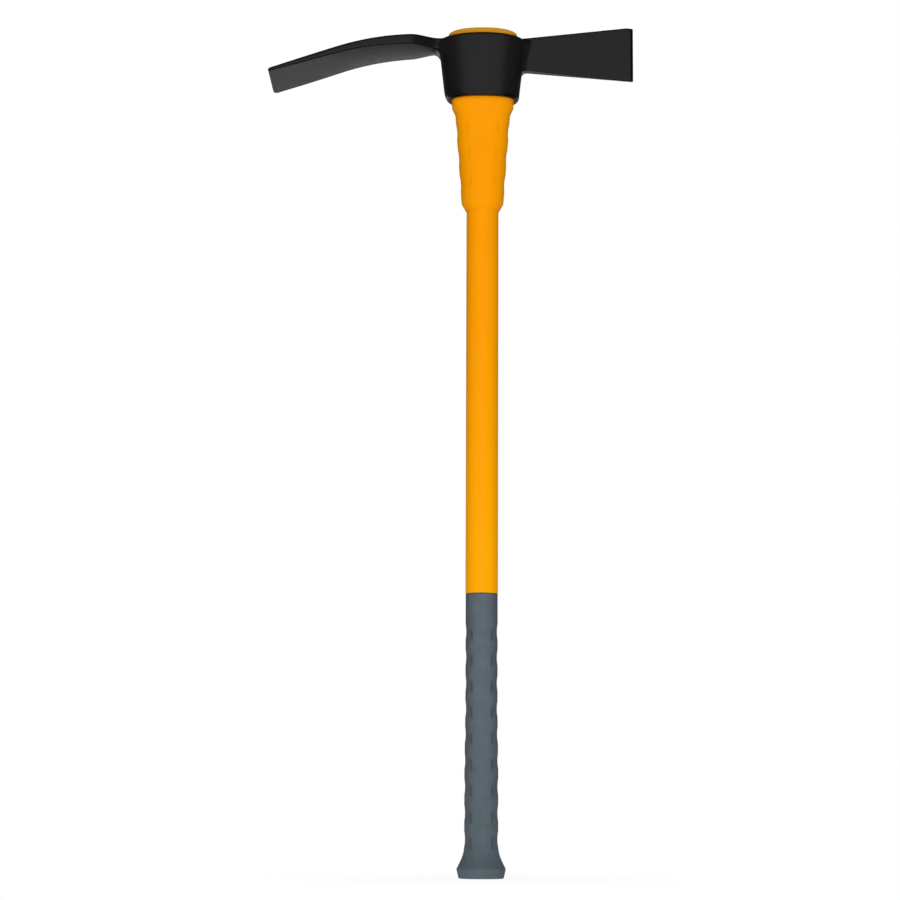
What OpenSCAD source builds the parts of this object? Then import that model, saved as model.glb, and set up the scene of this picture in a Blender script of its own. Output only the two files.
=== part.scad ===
// Cutter mattock: a forged head on a jacketed fibreglass handle with a rubber grip
// Sizes are in millimetres, and the handle stands on its butt along +Z
// The cutter points to +X and the adze to -X

/* [Handle] */
// Length of the handle, from the butt to the top of the crown
handle_l = 914.4; // [880:0.1:960]
// Outer diameter of the shaft jacket
shaft_d = 34.5; // [33.5:0.1:36]
// Diameter of the fibreglass core
core_d = 26; // [24:0.1:27]
// Outer diameter of the jacket's tail, under the grip
tail_d = 29.4; // [28.4:0.1:30.4]
// Outer diameter of the jacket's spigot, in the sleeve
spigot_d = 31.5; // [30:0.1:33]

/* [Grip] */
// Length of the grip, with its butt
grip_l = 298; // [285:1:320]
// Diameter of the upper part of the grip
grip_top_d = 33.9; // [33:0.1:34.5]
// Diameter of the swell in the lower part of the grip
grip_swell_d = 35.6; // [35:0.1:37]
// Height of the swell's top above the base
swell_top_h = 116; // [100:1:130]
// Length of the taper above the swell
swell_taper_l = 58; // [40:1:80]
// Diameter of the butt's rim
butt_rim_d = 51.8; // [50:0.1:54]
// Height of the rim above the base
butt_rim_h = 9.8; // [8:0.1:11]
// Diameter of the butt's base
butt_base_d = 48; // [46:0.1:49]
// Radius of the edge round the base
butt_edge_r = 1.6; // [1:0.1:2]
// Thickness of rubber under the core
butt_floor_t = 14; // [10:0.5:18]
// Slope of the flare above the rim, from the axis
flare_a = 26; // [22:1:30]
// Radius of the curve that joins the flare to the grip
flare_r = 38; // [30:1:45]
// Grooves on each side of the grip
groove_n = 9; // [6:1:9]
// Spacing of the grooves
groove_pitch = 27.1; // [25:0.1:28]
// Height of the lowest groove above the base
groove_first_h = 40.8; // [38:0.1:44]
// Height of one groove
groove_h = 17; // [14:0.5:19]
// Depth of one groove
groove_depth = 0.75; // [0.5:0.05:1]
// Angle that a groove covers on its side
groove_sweep_a = 112; // [90:1:130]

/* [Sleeve] */
// Height of the crown above the eye's rim
crown_h = 11; // [10:0.1:13]
// Height of the crown's side, under its dome
crown_side_h = 4.1; // [3:0.1:6]
// Height of the lip under the eye
lip_h = 8.3; // [5:0.1:10]
// Height of the bevel under the lip
lip_bevel_h = 7.3; // [5:0.1:10]
// Length of the overstrike collar, under the bevel
collar_l = 98.7; // [92:0.1:110]
// Length of the collar's oval at its top
collar_top_l = 59.4; // [56:0.1:62]
// Width of the collar's oval at its top
collar_top_w = 43; // [41:0.1:44]
// Length of the collar's oval at its foot
collar_foot_l = 45.2; // [43:0.1:47]
// Width of the collar's oval at its foot
collar_foot_w = 43.2; // [42:0.1:45]
// Height of the chamfer under the collar
foot_chamfer_h = 8; // [6:0.1:10]
// Thickness of the sleeve's lower edge
foot_edge_t = 0.8; // [0.5:0.1:1.5]
// Depth of the spigot's seat in the sleeve
spigot_h = 20; // [15:1:30]
// Thickness of the crown over the core's socket
crown_floor_t = 22; // [15:1:30]
// Thickness of the epoxy round the core
bond_t = 0.7; // [0.5:0.1:1]
// Grooves on each side of the collar
collar_groove_n = 3; // [1:1:3]
// Spacing of the collar's grooves
collar_groove_pitch = 28.6; // [26:0.1:29]
// Height of the lowest collar groove above the sleeve's lower edge
collar_groove_first_h = 31; // [28:0.1:33]

/* [Eye] */
// Height of the eye
eye_h = 69.1; // [66:0.1:74]
// Length of the eye's opening at its foot
eye_foot_l = 67.4; // [65:0.1:70]
// Width of the eye's opening at its foot
eye_foot_w = 45.2; // [44:0.1:47]
// Length of the eye's opening at its top
eye_top_l = 74.6; // [72:0.1:78]
// Width of the eye's opening at its top
eye_top_w = 50; // [48:0.1:52]
// Wall at the cutter's end of the eye's foot
eye_foot_wall_t = 5.4; // [5.2:0.1:7]
// Wall at the cutter's end of the eye's top
eye_top_wall_t = 9.7; // [8:0.1:11]
// Extra wall at the adze's end of the eye
adze_wall_t = 1.7; // [1:0.1:3]
// Wall of the cheeks, front and back
cheek_wall_t = 7; // [5.5:0.1:8]
// Fall of the top rim from the cheeks to the ends
eye_fall_h = 2.8; // [1:0.1:4]
// Radius of the eye's top edge
eye_top_r = 2; // [1:0.1:2.5]
// Radius of the foot's edge at the cheeks
eye_foot_r = 1.4; // [1:0.1:2.5]
// Depth of the rounded foot at the adze's end
adze_foot_in = 5.2; // [3:0.1:6]
// Height of the rounded foot at the adze's end
adze_foot_up = 11; // [6:0.1:14]
// Depth of the rounded foot at the cutter's end
cutter_foot_in = 3; // [2:0.1:4.5]
// Height of the rounded foot at the cutter's end
cutter_foot_up = 4; // [3:0.1:7]
// Clearance between the sleeve and the eye
eye_clearance = 0.1; // [0.05:0.05:0.3]
// Squareness of the ovals, where 2 is an ellipse
oval_power = 2.35; // [2:0.05:2.8]

/* [Adze] */
// Reach of the adze from the handle's axis
adze_reach = 231; // [215:0.1:240]
// Depth of the adze's root under the eye's top
adze_root_drop = 7.9; // [6:0.1:10]
// Straight run from the handle's axis to the bend
adze_straight_l = 62; // [55:0.5:75]
// Radius of the bend
adze_bend_r = 307; // [250:1:340]
// Angle of the bend
adze_bend_a = 18.1; // [12:0.1:24]
// Width of the cutting edge
adze_edge_w = 93.4; // [80:0.1:105]
// Width that the flared sides would reach at the eye
adze_root_w = 57; // [45:0.1:62]
// Width of the neck
adze_neck_w = 28; // [24:0.1:32]
// Length of the rounded shoulders
adze_shoulder_l = 33.7; // [28:0.1:45]
// Thickness at the neck
adze_root_t = 12.4; // [10:0.1:14]
// Thickness at the cutting edge
adze_edge_t = 3.2; // [2:0.1:4]
// Radius of the corners of the cutting edge
adze_corner_r = 6; // [3:0.1:9]
// Radius of the long edges
adze_side_r = 1.8; // [1:0.1:2.5]
// Radius of the fillet under the neck
adze_fillet_r = 9.5; // [5:0.1:14]
// Radius of the webs that spread the neck over the eye
adze_web_r = 8; // [5:0.1:10]

/* [Cutter] */
// Reach of the cutter from the handle's axis
cutter_reach = 163.9; // [150:0.1:175]
// Depth of the cutter's middle under the eye's top
cutter_root_drop = 17.6; // [16:0.1:21]
// Height of the neck
cutter_root_h = 35.5; // [32:0.1:38]
// Rise of the back from the neck to the edge
cutter_rise_h = 14.4; // [8:0.1:18]
// Fall of the belly from the neck to the edge
cutter_fall_h = 11.2; // [6:0.1:15]
// Thickness at the neck
cutter_root_t = 14.2; // [12:0.1:17]
// Thickness behind the bevel
cutter_edge_t = 3.2; // [2.5:0.1:4.5]
// Length of the ground bevel
cutter_bevel_l = 2.8; // [2.6:0.1:5]
// Thickness of the blunt edge
cutter_blunt_t = 0.9; // [0.6:0.1:1.5]
// Radius of the corners of the cutting edge
cutter_corner_r = 1.2; // [1:0.1:2.6]
// Radius of the long edges
cutter_side_r = 0.9; // [0.6:0.1:2.5]
// Radius of the fillet under the neck
cutter_fillet_r = 6; // [3:0.1:8]
// Radius of the webs that spread the neck over the eye
cutter_web_r = 8; // [5:0.1:10]

/* [Hidden] */

// One overrun for every cut
overrun = 1;

// Points and stations of the curved surfaces
oval_n = 60;
rim_n = 4;
neck_n = 10;
crown_n = 6;
collar_n = 33;
corner_n = 4;
adze_n = 22;
cutter_n = 12;
arc_n = 8;
$fn = 96;

// Powers and shares of the curves
adze_flare_power = 1.35;
adze_taper_power = 1.25;
dome_end_share = 0.94;
round_limit_share = 0.48;

// Heights of the sleeve and the eye, from the crown down
eye_top_z = handle_l - crown_h;
crown_z = eye_top_z + crown_side_h;
eye_foot_z = eye_top_z - eye_h;
lip_z = eye_foot_z - lip_h;
collar_top_z = lip_z - lip_bevel_h;
collar_foot_z = collar_top_z - collar_l;
sleeve_z = collar_foot_z - foot_chamfer_h;
jacket_top_z = sleeve_z + spigot_h;
socket_top_z = handle_l - crown_floor_t;

// Where the blades' necks and webs meet the eye's outer face
adze_z = eye_top_z - adze_root_drop;
cutter_z = eye_top_z - cutter_root_drop;
adze_eye_x = eye_end(adze_z) + adze_wall_t;
adze_web_x = adze_eye_x * eye_face_share(adze_neck_w / 2 + adze_web_r, adze_z);
cutter_eye_x = eye_end(cutter_z);
cutter_belly_x = eye_end(cutter_z - cutter_root_h / 2);
cutter_web_x = cutter_eye_x * eye_face_share(cutter_root_t / 2 + cutter_web_r, cutter_z);

// Lengths along the adze's middle line, from the handle's axis
adze_arc_l = adze_bend_r * adze_bend_a * PI / 180;
adze_arc_x = adze_straight_l + adze_bend_r * sin(adze_bend_a);
adze_end_s = adze_straight_l + adze_arc_l + (adze_reach - adze_arc_x) / cos(adze_bend_a);

// Radius of the groove's arc, from its height and depth
groove_r = (pow(groove_h / 2, 2) + pow(groove_depth, 2)) / (2 * groove_depth);

// Height and radius of the grip's outline, from the flare up
flare_x = grip_swell_d / 2 + flare_r * (1 - cos(flare_a));
flare_z = butt_rim_h + (butt_rim_d / 2 - flare_x) / tan(flare_a);
flare_top_z = flare_z + flare_r * sin(flare_a);
grip_radii = [
    [flare_top_z, grip_swell_d / 2],
    [swell_top_h, grip_swell_d / 2],
    [swell_top_h + swell_taper_l, grip_top_d / 2],
    [grip_l, grip_top_d / 2]
];

function mix(a, b, part) = a + (b - a) * part;

function ease(part) = let (p = max(0, min(1, part))) p * p * (3 - 2 * p);

function signed_pow(v, e) = sign(v) * pow(abs(v), e);

// Growth of a concave fillet of radius r at distance d from the wall
function fillet(d, r) = d >= r ? 0 : r - sqrt(r * r - pow(r - max(d, 0), 2));

// Outer half-length of the eye on the cutter's side at height z
function eye_end(z) = mix(
    eye_foot_l / 2 + eye_foot_wall_t, eye_top_l / 2 + eye_top_wall_t, (z - eye_foot_z) / eye_h);

// Outer half-width of the eye at height z
function eye_cheek(z) = mix(eye_foot_w, eye_top_w, (z - eye_foot_z) / eye_h) / 2 + cheek_wall_t;

// Share of the eye's half-length that its outer face reaches at a distance y from its middle
function eye_face_share(y, z) = pow(1 - pow(y / eye_cheek(z), oval_power), 1 / oval_power);

// Oval ring of length l and width w, counter-clockwise from +X
function oval(l, w, z, power = oval_power) = [
    for (i = [0:oval_n - 1])
        let (a = 360 * i / oval_n)
        [l / 2 * signed_pow(cos(a), 2 / power), w / 2 * signed_pow(sin(a), 2 / power), z]
];

// Rectangle w by h with rounded corners, counter-clockwise
function slab(w, h, r) = let (c = min(r, round_limit_share * min(w, h))) [
    for (q = [0:3], i = [0:corner_n])
        let (a = 90 * (q + i / corner_n))
        [
            (q == 0 || q == 3 ? 1 : -1) * (w / 2 - c) + c * cos(a),
            (q < 2 ? 1 : -1) * (h / 2 - c) + c * sin(a)
        ]
];

// Closed skin over a stack of rings, with a fan to one point at each end
module skin(rings, foot, head) {
    n = len(rings[0]);
    last = (len(rings) - 1) * n;
    foot_i = len(rings) * n;
    head_i = foot_i + 1;
    sides = [
        for (k = [0:len(rings) - 2], j = [0:n - 1])
            let (a = k * n + j, b = k * n + (j + 1) % n)
            each [[a, a + n, b + n], [a, b + n, b]]
    ];
    ends = [
        for (j = [0:n - 1])
            each [[foot_i, j, (j + 1) % n], [head_i, last + (j + 1) % n, last + j]]
    ];
    polyhedron(concat([for (ring = rings) each ring], [foot, head]), concat(sides, ends));
}

// Loft through convex rings, one hull for each pair
module loft(rings) {
    for (i = [0:len(rings) - 2]) {
        pair = concat(rings[i], rings[i + 1]);
        hull() polyhedron(pair, [[for (k = [0:len(pair) - 1]) k]]);
    }
}

// Oval rings of the eye's outside, with the rounding growing from the cheeks to the ends
function eye_ring(z, inset, fall, in_share, up_share) =
    let (end = eye_end(z) - inset)
    let (cheek = eye_cheek(z) - inset)
    [
        for (p = oval(2 * end, 2 * cheek, z))
            let (x = p.x < 0 ? p.x * (1 + adze_wall_t / end) : p.x)
            let (toward = pow(p.x / end, 2))
            let (foot_in = mix(eye_foot_r, p.x < 0 ? adze_foot_in : cutter_foot_in, toward))
            let (foot_up = mix(eye_foot_r, p.x < 0 ? adze_foot_up : cutter_foot_up, toward))
            let (shrink = 1 - foot_in * in_share / norm([x, p.y]))
            [x * shrink, p.y * shrink, z + foot_up * up_share - fall * toward]
    ];

module eye_body() {
    foot_rings = [
        for (i = [0:rim_n])
            let (a = 90 * i / rim_n)
            eye_ring(eye_foot_z, 0, 0, 1 - sin(a), 1 - cos(a))
    ];
    top_rings = [
        for (i = [0:rim_n])
            let (a = 90 * i / rim_n)
            eye_ring(
                eye_top_z - eye_top_r * (1 - sin(a)), eye_top_r * (1 - cos(a)), eye_fall_h, 0, 0)
    ];
    skin(concat(foot_rings, top_rings), [0, 0, eye_foot_z], [0, 0, eye_top_z]);
}

// Tapered oval hole, run past both rims along its own taper
module eye_opening() {
    run = overrun / eye_h;
    rings = [
        for (part = [-run, 1 + run])
            oval(
                mix(eye_foot_l, eye_top_l, part) + 2 * eye_clearance,
                mix(eye_foot_w, eye_top_w, part) + 2 * eye_clearance,
                mix(eye_foot_z, eye_top_z, part))
    ];
    skin(rings, [0, 0, eye_foot_z - overrun], [0, 0, eye_top_z + overrun]);
}

// Place and slope of the adze's middle line at length s: straight, round the bend, straight
function adze_at(s) =
    s <= adze_straight_l ? [-s, adze_z, 0] :
    s <= adze_straight_l + adze_arc_l ?
        let (a = adze_bend_a * (s - adze_straight_l) / adze_arc_l)
        [-adze_straight_l - adze_bend_r * sin(a), adze_z - adze_bend_r * (1 - cos(a)), a] :
    let (d = s - adze_straight_l - adze_arc_l)
    [
        -adze_arc_x - d * cos(adze_bend_a),
        adze_z - adze_bend_r * (1 - cos(adze_bend_a)) - d * sin(adze_bend_a),
        adze_bend_a
    ];

// Width: flared sides, less the shoulders, with the webs at the eye and the rounded corners
function adze_w(s) =
    adze_edge_w
    - (adze_edge_w - adze_root_w) * pow((adze_end_s - s) / (adze_end_s - adze_eye_x), adze_flare_power)
    - (adze_root_w - adze_neck_w) * (1 - ease((s - adze_eye_x) / adze_shoulder_l))
    + 2 * fillet(s - adze_web_x, adze_web_r)
    - 2 * fillet(adze_end_s - s, adze_corner_r);

function adze_t(s) =
    let (part = min(1, (adze_end_s - s) / (adze_end_s - adze_eye_x)))
    mix(adze_edge_t, adze_root_t, 1 - pow(1 - part, adze_taper_power));

// Section of the adze, thickened downwards by the fillet under the neck
function adze_ring(s) =
    let (at = adze_at(s))
    let (under = fillet(s - adze_eye_x, adze_fillet_r))
    [
        for (p = slab(adze_w(s), adze_t(s) + under, adze_side_r))
            let (over = p.y - under / 2)
            [at.x - sin(at.z) * over, p.x, at.y + cos(at.z) * over]
    ];

module adze() {
    neck_s = adze_eye_x + adze_fillet_r;
    corner_s = adze_end_s - adze_corner_r;
    stations = concat(
        [for (i = [0:neck_n - 1]) mix(adze_web_x, neck_s, i / neck_n)],
        [for (i = [0:adze_n]) mix(neck_s, corner_s, i / adze_n)],
        [for (i = [1:rim_n]) adze_end_s - adze_corner_r * (1 - sin(90 * i / rim_n))]);
    loft([for (s = stations) adze_ring(s)]);
}

// Share of the cutter's length that lies behind x
function cutter_part(x) = max(0, (x - cutter_eye_x) / (cutter_reach - cutter_eye_x));

function cutter_t(x) =
    let (body = mix(cutter_root_t, cutter_edge_t, cutter_part(x)))
    let (bevel_part = min(1, (cutter_reach - x) / cutter_bevel_l))
    mix(cutter_blunt_t, body, bevel_part) + 2 * fillet(x - cutter_web_x, cutter_web_r);

// Upright section of the cutter: the back rises and the belly falls straight
function cutter_ring(x) =
    let (corner = fillet(cutter_reach - x, cutter_corner_r))
    let (under = fillet(x - cutter_belly_x, cutter_fillet_r))
    let (back = cutter_root_h / 2 + cutter_rise_h * cutter_part(x) - corner)
    let (belly = cutter_root_h / 2 + cutter_fall_h * cutter_part(x) - corner + under)
    [
        for (p = slab(cutter_t(x), back + belly, cutter_side_r))
            [x, p.x, cutter_z + (back - belly) / 2 + p.y]
    ];

module cutter() {
    neck_x = cutter_web_x + cutter_web_r;
    bevel_x = cutter_reach - cutter_bevel_l;
    stations = concat(
        [for (i = [0:neck_n - 1]) mix(cutter_web_x, neck_x, i / neck_n)],
        [for (i = [0:cutter_n]) mix(neck_x, bevel_x, i / cutter_n)],
        [for (i = [0:rim_n]) cutter_reach - cutter_corner_r * (1 - sin(90 * i / rim_n))]);
    loft([for (x = stations) cutter_ring(x)]);
}

// One forging: the eye and the two blades, with the tapered hole through the eye
module mattock_head() {
    color("#2c2c2e") difference() {
        union() {
            eye_body();
            adze();
            cutter();
        }
        eye_opening();
    }
}

// Sizes of the sleeve's oval at each height, and how square it is
sleeve_lengths = [
    [sleeve_z, shaft_d + 2 * foot_edge_t],
    [collar_foot_z, collar_foot_l],
    [collar_top_z, collar_top_l],
    [lip_z, mix(eye_foot_l, eye_top_l, -lip_h / eye_h)],
    [crown_z, mix(eye_foot_l, eye_top_l, 1 + crown_side_h / eye_h)]
];
sleeve_widths = [
    [sleeve_z, shaft_d + 2 * foot_edge_t],
    [collar_foot_z, collar_foot_w],
    [collar_top_z, collar_top_w],
    [lip_z, mix(eye_foot_w, eye_top_w, -lip_h / eye_h)],
    [crown_z, mix(eye_foot_w, eye_top_w, 1 + crown_side_h / eye_h)]
];
sleeve_powers = [[collar_foot_z, 2], [collar_top_z, oval_power]];

// Depth of the collar's grooves at height z
function collar_cut(z) = max([
    0,
    for (i = [0:collar_groove_n - 1])
        let (d = z - sleeve_z - collar_groove_first_h - i * collar_groove_pitch)
        groove_depth - d * d / (2 * groove_r)
]);

function sleeve_ring(z, part = 1) = [
    for (p = oval(
        lookup(z, sleeve_lengths) * part, lookup(z, sleeve_widths) * part, z, lookup(z, sleeve_powers)))
        let (on_side = atan2(abs(p.y), abs(p.x)) < groove_sweep_a / 2)
        let (shrink = on_side ? 1 - collar_cut(z) / norm([p.x, p.y]) : 1)
        [p.x * shrink, p.y * shrink, z]
];

// Sleeve that fills the eye: chamfered foot, grooved collar, bevel, lip, taper and domed crown
module eye_sleeve() {
    heights = concat(
        [sleeve_z],
        [for (i = [0:collar_n]) mix(collar_foot_z, collar_top_z, i / collar_n)],
        [lip_z]);
    dome = [
        for (i = [0:crown_n])
            let (a = 90 * dome_end_share * i / crown_n)
            [for (p = sleeve_ring(crown_z, cos(a))) [p.x, p.y, crown_z + (crown_h - crown_side_h) * sin(a)]]
    ];
    color("#f5a000") difference() {
        skin(
            concat([for (z = heights) sleeve_ring(z)], dome),
            [0, 0, sleeve_z], [0, 0, handle_l]);
        translate([0, 0, sleeve_z - overrun]) cylinder(d = spigot_d, h = spigot_h + overrun);
        translate([0, 0, sleeve_z]) cylinder(d = core_d + 2 * bond_t, h = socket_top_z - sleeve_z);
    }
}

// Cup of epoxy between the core's end and the blind socket
module core_bond() {
    color("#c9b37a") difference() {
        translate([0, 0, jacket_top_z]) cylinder(d = core_d + 2 * bond_t, h = socket_top_z - jacket_top_z);
        fibreglass_core();
    }
}

// Solid rod from the butt's floor to the socket in the sleeve
module fibreglass_core() {
    color("#d8cfa8")
        translate([0, 0, butt_floor_t])
            cylinder(d = core_d, h = socket_top_z - bond_t - butt_floor_t);
}

// Jacket on the core, stepped down to a tail under the grip and to a spigot in the sleeve
module shaft_jacket() {
    color("#ffa60a") difference() {
        union() {
            translate([0, 0, butt_floor_t]) cylinder(d = tail_d, h = grip_l - butt_floor_t);
            translate([0, 0, grip_l]) cylinder(d = shaft_d, h = sleeve_z - grip_l);
            translate([0, 0, sleeve_z]) cylinder(d = spigot_d, h = spigot_h);
        }
        translate([0, 0, butt_floor_t - overrun])
            cylinder(d = core_d, h = jacket_top_z - butt_floor_t + 2 * overrun);
    }
}

// Half outline of the grip: rounded base, bevelled rim, flare, swell and taper
module grip_outline() {
    base = [
        for (i = [0:arc_n])
            let (a = 90 * i / arc_n)
            [butt_base_d / 2 - butt_edge_r * (1 - sin(a)), butt_edge_r * (1 - cos(a))]
    ];
    flare = [
        for (i = [0:arc_n])
            let (a = flare_a * (1 - i / arc_n))
            [grip_swell_d / 2 + flare_r * (1 - cos(a)), flare_top_z - flare_r * sin(a)]
    ];
    sides = [for (i = [1:len(grip_radii) - 1]) [grip_radii[i][1], grip_radii[i][0]]];
    polygon(concat([[0, 0]], base, [[butt_rim_d / 2, butt_rim_h]], flare, sides, [[0, grip_l]]));
}

// Arc-shaped groove at height z, on both sides
module grip_groove(z) {
    x = lookup(z, grip_radii) - groove_depth + groove_r;
    for (turn = [0, 180])
        rotate([0, 0, turn - groove_sweep_a / 2])
            rotate_extrude(angle = groove_sweep_a)
                intersection() {
                    translate([x, z]) circle(groove_r);
                    translate([x - groove_r, z - groove_h / 2]) square([groove_r, groove_h]);
                }
}

// Closed rubber grip that sleeves the jacket's tail
module grip() {
    color("#5c686f") difference() {
        rotate_extrude() grip_outline();
        for (i = [0:groove_n - 1]) grip_groove(groove_first_h + i * groove_pitch);
        translate([0, 0, butt_floor_t]) cylinder(d = tail_d, h = grip_l - butt_floor_t + overrun);
    }
}

mattock_head();
eye_sleeve();
core_bond();
fibreglass_core();
shaft_jacket();
grip();
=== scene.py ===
"""Cutter mattock: fine surfaces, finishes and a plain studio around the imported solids."""

import math

import bpy
import numpy as np
from bpy.props import FloatProperty, FloatVectorProperty, IntProperty, PointerProperty
from mathutils import Matrix, Vector


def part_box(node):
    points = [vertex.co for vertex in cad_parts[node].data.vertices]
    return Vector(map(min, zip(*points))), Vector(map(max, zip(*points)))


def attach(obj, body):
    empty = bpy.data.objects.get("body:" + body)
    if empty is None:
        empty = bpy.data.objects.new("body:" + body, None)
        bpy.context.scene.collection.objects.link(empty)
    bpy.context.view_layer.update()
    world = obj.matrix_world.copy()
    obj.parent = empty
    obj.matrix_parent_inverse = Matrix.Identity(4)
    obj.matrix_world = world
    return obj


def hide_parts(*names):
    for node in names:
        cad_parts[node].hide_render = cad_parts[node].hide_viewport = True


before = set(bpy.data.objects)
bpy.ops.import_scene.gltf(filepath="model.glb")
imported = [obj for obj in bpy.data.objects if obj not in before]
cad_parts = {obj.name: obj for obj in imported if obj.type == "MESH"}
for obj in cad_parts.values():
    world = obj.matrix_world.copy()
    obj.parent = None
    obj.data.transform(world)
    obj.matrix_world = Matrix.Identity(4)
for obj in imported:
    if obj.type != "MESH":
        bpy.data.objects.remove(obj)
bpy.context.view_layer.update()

bl_info = {
    "name": "Cutter mattock",
    "version": (1, 0, 0),
    "blender": (4, 5, 0),
    "location": "3D View > Sidebar > Mattock",
    "description": "Builds the surfaces and finishes of a cutter mattock on its packed solids",
    "category": "Add Mesh",
}

MM = 0.001

# Heights of the handle's pieces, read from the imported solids
HANDLE_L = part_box("eye_sleeve")[1].z
SLEEVE_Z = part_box("eye_sleeve")[0].z
GRIP_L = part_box("grip")[1].z
TAIL_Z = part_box("shaft_jacket")[0].z
SPIGOT_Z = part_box("shaft_jacket")[1].z
SOCKET_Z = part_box("core_bond")[1].z
SHAFT_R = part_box("shaft_jacket")[1].x
CORE_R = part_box("fibreglass_core")[1].x
SOCKET_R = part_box("core_bond")[1].x

# Powers and shares of the curves
ROUND_POWER = 2.0
OVAL_POWER = 2.35
ADZE_FLARE_POWER = 1.35
ADZE_TAPER_POWER = 1.25
EDGE_ROUND_SHARE = 0.42
CROWN_START_SHARE = 0.4
CROWN_FULL_SHARE = 0.8
SLEEVE_BLUR_SHARE = 0.4
GRIP_BLUR_SHARE = 0.3
# Shares of a grip groove's depth where its painted shade starts and where it is full
DARK_START_SHARE = 0.4
DARK_FULL_SHARE = 0.65
FLOOR_RING_SHARES = (1 / 6, 0.4, 0.6, 0.8, 1.0)

# Growth of the head's painted shade with the sharpness of an edge and with how far it faces up
SHARP_GAIN = 12
UPWARD_GAIN = 2
SHADE_GAIN = 1.5

# Limits and shares for fitting the head's skin
TINY = 1e-6
LEAST_STEEP = 0.25
EVEN_SHARE = 0.5
SKIN_TOLERANCE = 0.1 * MM

# Gloss and shades of the finishes
ENAMEL_GLOSS = 0.10
DULL_GLOSS = 0.03
RUBBER_GLOSS = 0.06
SATIN = {"Specular IOR Level": 0.02, "Diffuse Roughness": 0.35}
FIBRE_PALE = 1.25
EPOXY_DEEP = 0.7
WHITE = (1.0, 1.0, 1.0, 1.0)

# Usual span of a noise's values
NOISE_LOW = 0.3
NOISE_HIGH = 0.7

# Places, aims and sizes of the lamps, in metres
KEY_LAMP = {"place": (-0.1, -2.3, 0.35), "aim": (0.0, 0.0, 0.0), "size": (1.6, 0.6)}
FILL_LAMP = {"place": (0.0, 2.1, 2.2), "aim": (0.0, 0.0, 0.6), "size": (2.0, 2.0)}
LEFT_RIM_LAMP = {"place": (-1.3, 2.1, 0.2), "aim": (0.0, 0.0, 0.7), "size": (0.5, 1.2)}
RIGHT_RIM_LAMP = {**LEFT_RIM_LAMP, "place": (1.3, 2.1, 0.2)}

# Width of the camera's sensor in millimetres, and the nearest and farthest it sees in metres
SENSOR_MM = 36.0
CLIP_NEAR = 0.05
CLIP_FAR = 50.0


def length(name, description, size_mm):
    """A length that the user can change, with its default in millimetres."""
    return FloatProperty(
        name=name, description=description, default=size_mm * MM, min=0.0,
        unit="LENGTH", subtype="DISTANCE", precision=5)


def angle(name, description, degrees):
    """An angle that the user can change, with its default in degrees."""
    return FloatProperty(
        name=name, description=description, default=math.radians(degrees),
        unit="ROTATION", subtype="ANGLE")


def number(name, description, value):
    """A plain number that the user can change."""
    return FloatProperty(name=name, description=description, default=value, min=0.0)


def colour(name, description, rgb):
    """A colour that the user can change, in linear light."""
    return FloatVectorProperty(
        name=name, description=description, default=rgb, size=3, min=0.0, max=1.0, subtype="COLOR")


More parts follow.
